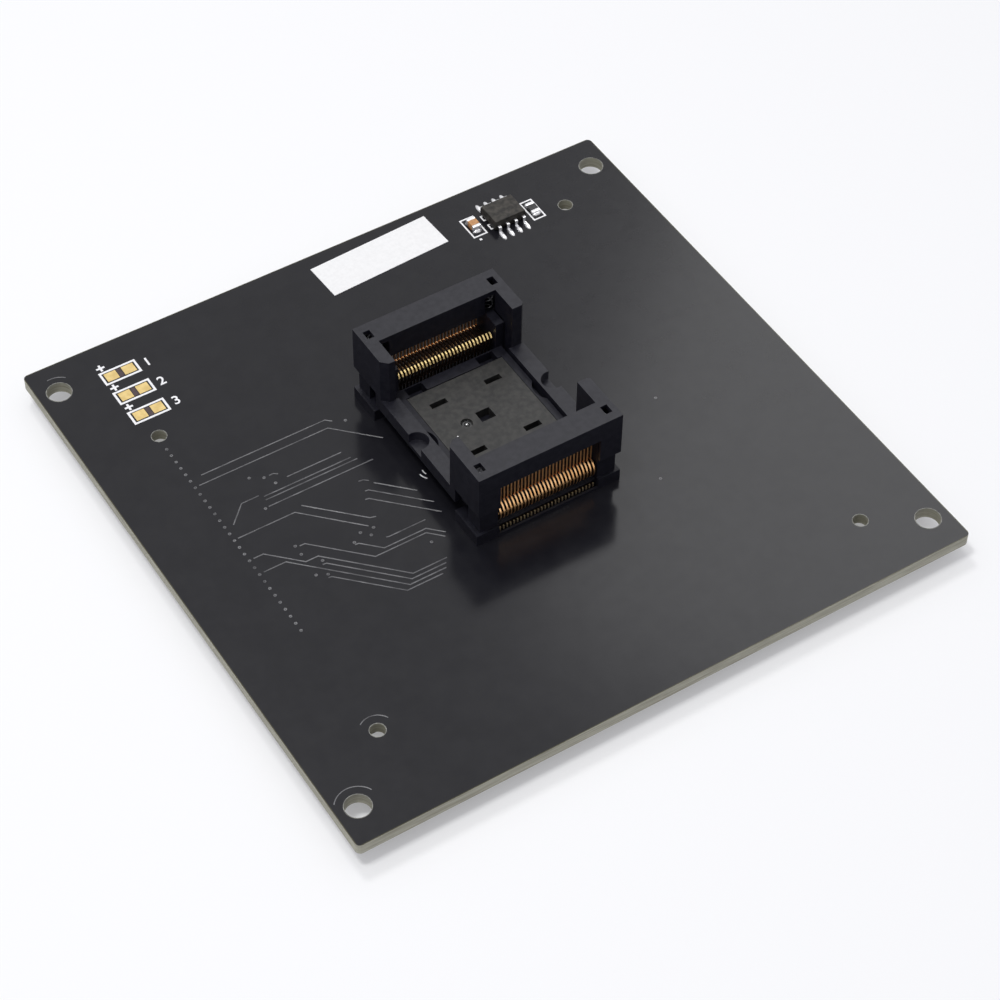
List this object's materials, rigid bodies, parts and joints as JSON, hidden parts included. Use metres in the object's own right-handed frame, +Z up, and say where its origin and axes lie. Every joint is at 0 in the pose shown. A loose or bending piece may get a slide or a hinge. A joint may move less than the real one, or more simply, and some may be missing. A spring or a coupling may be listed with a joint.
{
  "type": "programmer adapter socket",
  "caption": "Square circuit board with a spring-loaded open-top socket for a thin chip package and grooved plug-in connectors under two edges.",
  "frame": {"origin": "middle of the board's footprint, on the plane that the connectors under the board stand on", "axes": "+X along the board's front edge to the right, +Y to the back edge, +Z up out of the socket"},
  "size_m": [0.0864, 0.0844, 0.016],
  "materials": {
    "solder_mask": "semi-gloss black solder mask over glass-epoxy laminate",
    "gold_pad": "gold-plated copper pad",
    "paper": "white coated paper",
    "chip_moulding": "black moulded epoxy",
    "tinned_lead": "tin-plated metal",
    "capacitor_ceramic": "tan ceramic",
    "resistor_ceramic": "black glazed ceramic",
    "socket_plastic": "fine-grained black moulding",
    "seat_plastic": "fine-grained dark grey moulding",
    "contact_alloy": "gold-plated copper alloy",
    "spring_steel": "drawn spring wire",
    "connector_plastic": "black moulding"
  },
  "bodies": {
    "base": {"circuit_board": "solder_mask", "indicator_pads": "gold_pad", "paper_label": "paper", "chip_body": "chip_moulding", "chip_leads": "tinned_lead", "capacitor_body": "capacitor_ceramic", "capacitor_ends": "tinned_lead", "resistor_body": "resistor_ceramic", "resistor_ends": "tinned_lead", "socket_base": "socket_plastic", "seat_plate": "seat_plastic", "front_comb": "socket_plastic", "rear_comb": "socket_plastic", "front_contact_roots": "contact_alloy", "rear_contact_roots": "contact_alloy", "front_contact_springs": "contact_alloy", "rear_contact_springs": "contact_alloy", "front_left_return_spring": "spring_steel", "front_right_return_spring": "spring_steel", "rear_left_return_spring": "spring_steel", "rear_right_return_spring": "spring_steel", "left_connector_housing": "connector_plastic", "right_connector_housing": "connector_plastic"},
    "cover": {"socket_cover": "socket_plastic"},
    "front_levers": {"front_contact_levers": "contact_alloy"},
    "rear_levers": {"rear_contact_levers": "contact_alloy"}
  },
  "joints": [
    {"name": "cover_slide", "type": "slide", "parent": "base", "child": "cover", "axis": [0, 0, -1], "range_m": [0, 0.0025], "stiffness_N_per_m": 2000, "springref_m": -0.001, "deforming": ["front_left_return_spring", "front_right_return_spring", "rear_left_return_spring", "rear_right_return_spring"]},
    {"name": "front_lever_hinge", "type": "hinge", "parent": "base", "child": "front_levers", "pos_m": [0.00145, -0.01043, 0.0064], "axis": [1, 0, 0], "range_deg": [0, 8], "deforming": ["front_contact_springs"]},
    {"name": "rear_lever_hinge", "type": "hinge", "parent": "base", "child": "rear_levers", "pos_m": [0.00145, 0.01537, 0.0064], "axis": [-1, 0, 0], "range_deg": [0, 8], "deforming": ["rear_contact_springs"]}
  ],
  "couplings": [
    {"joint": "front_lever_hinge", "follows": "cover_slide", "rad_per_m": 55.85},
    {"joint": "rear_lever_hinge", "follows": "cover_slide", "rad_per_m": 55.85}
  ]
}
